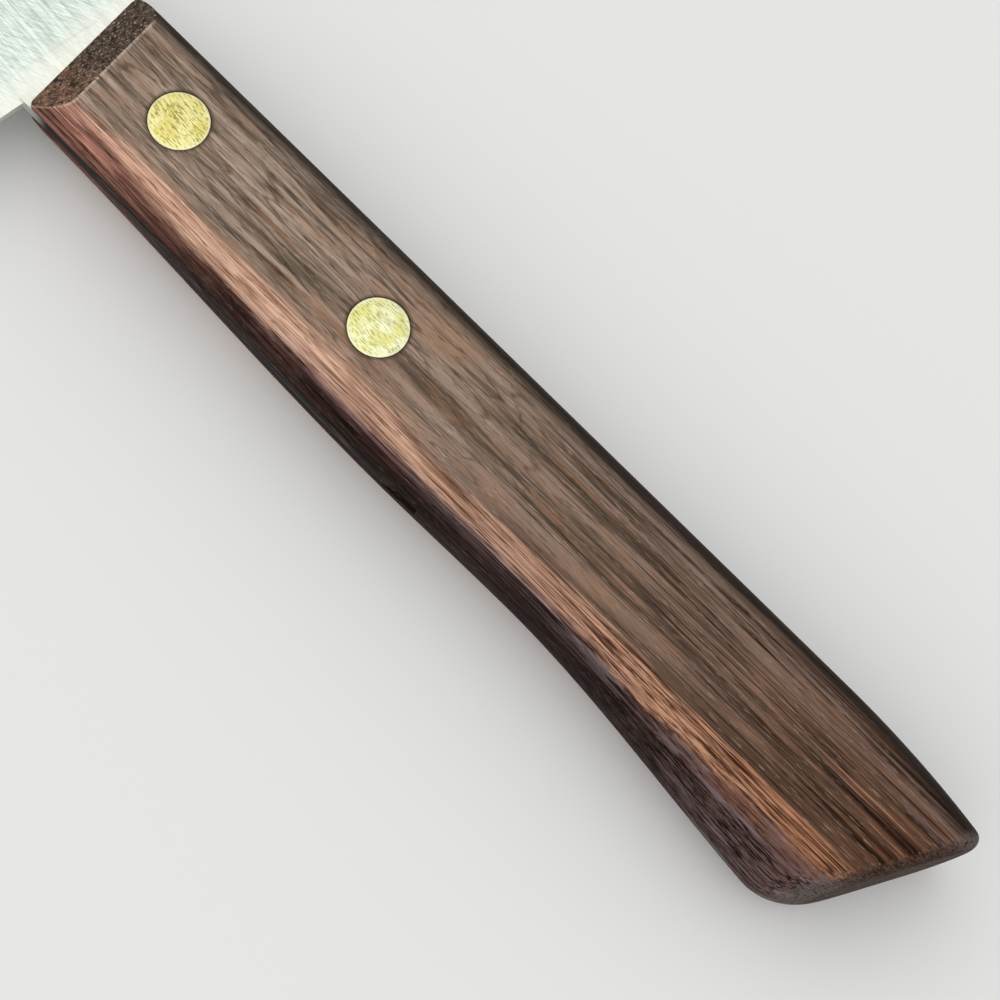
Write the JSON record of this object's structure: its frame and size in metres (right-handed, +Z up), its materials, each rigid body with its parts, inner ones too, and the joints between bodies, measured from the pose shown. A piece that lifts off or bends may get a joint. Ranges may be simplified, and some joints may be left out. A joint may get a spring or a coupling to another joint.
{
  "type": "serrated butcher knife",
  "caption": "Butcher knife with a scalloped, taper-ground steel blade and a flared one-piece wooden handle, its half tang held in a sawn kerf by flush brass rivets.",
  "frame": {"origin": "under the middle of the overall box, level with the lowest point of the handle's right side, on which the knife lies", "axes": "+X from the tip to the butt, +Y from the cutting edge to the spine, +Z up out of the knife's left side"},
  "size_m": [0.3372, 0.0384, 0.017],
  "materials": {
    "steel": "satin ground stainless steel",
    "wood": "oiled rosewood, worn pale along the lower edge of the flat sides",
    "brass": "sanded flush, fine scratches"
  },
  "bodies": {
    "root": {"blade": "steel", "handle": "wood", "front_rivet_socket": "brass", "front_rivet_pin": "brass", "rear_rivet_socket": "brass", "rear_rivet_pin": "brass"}
  },
  "joints": []
}
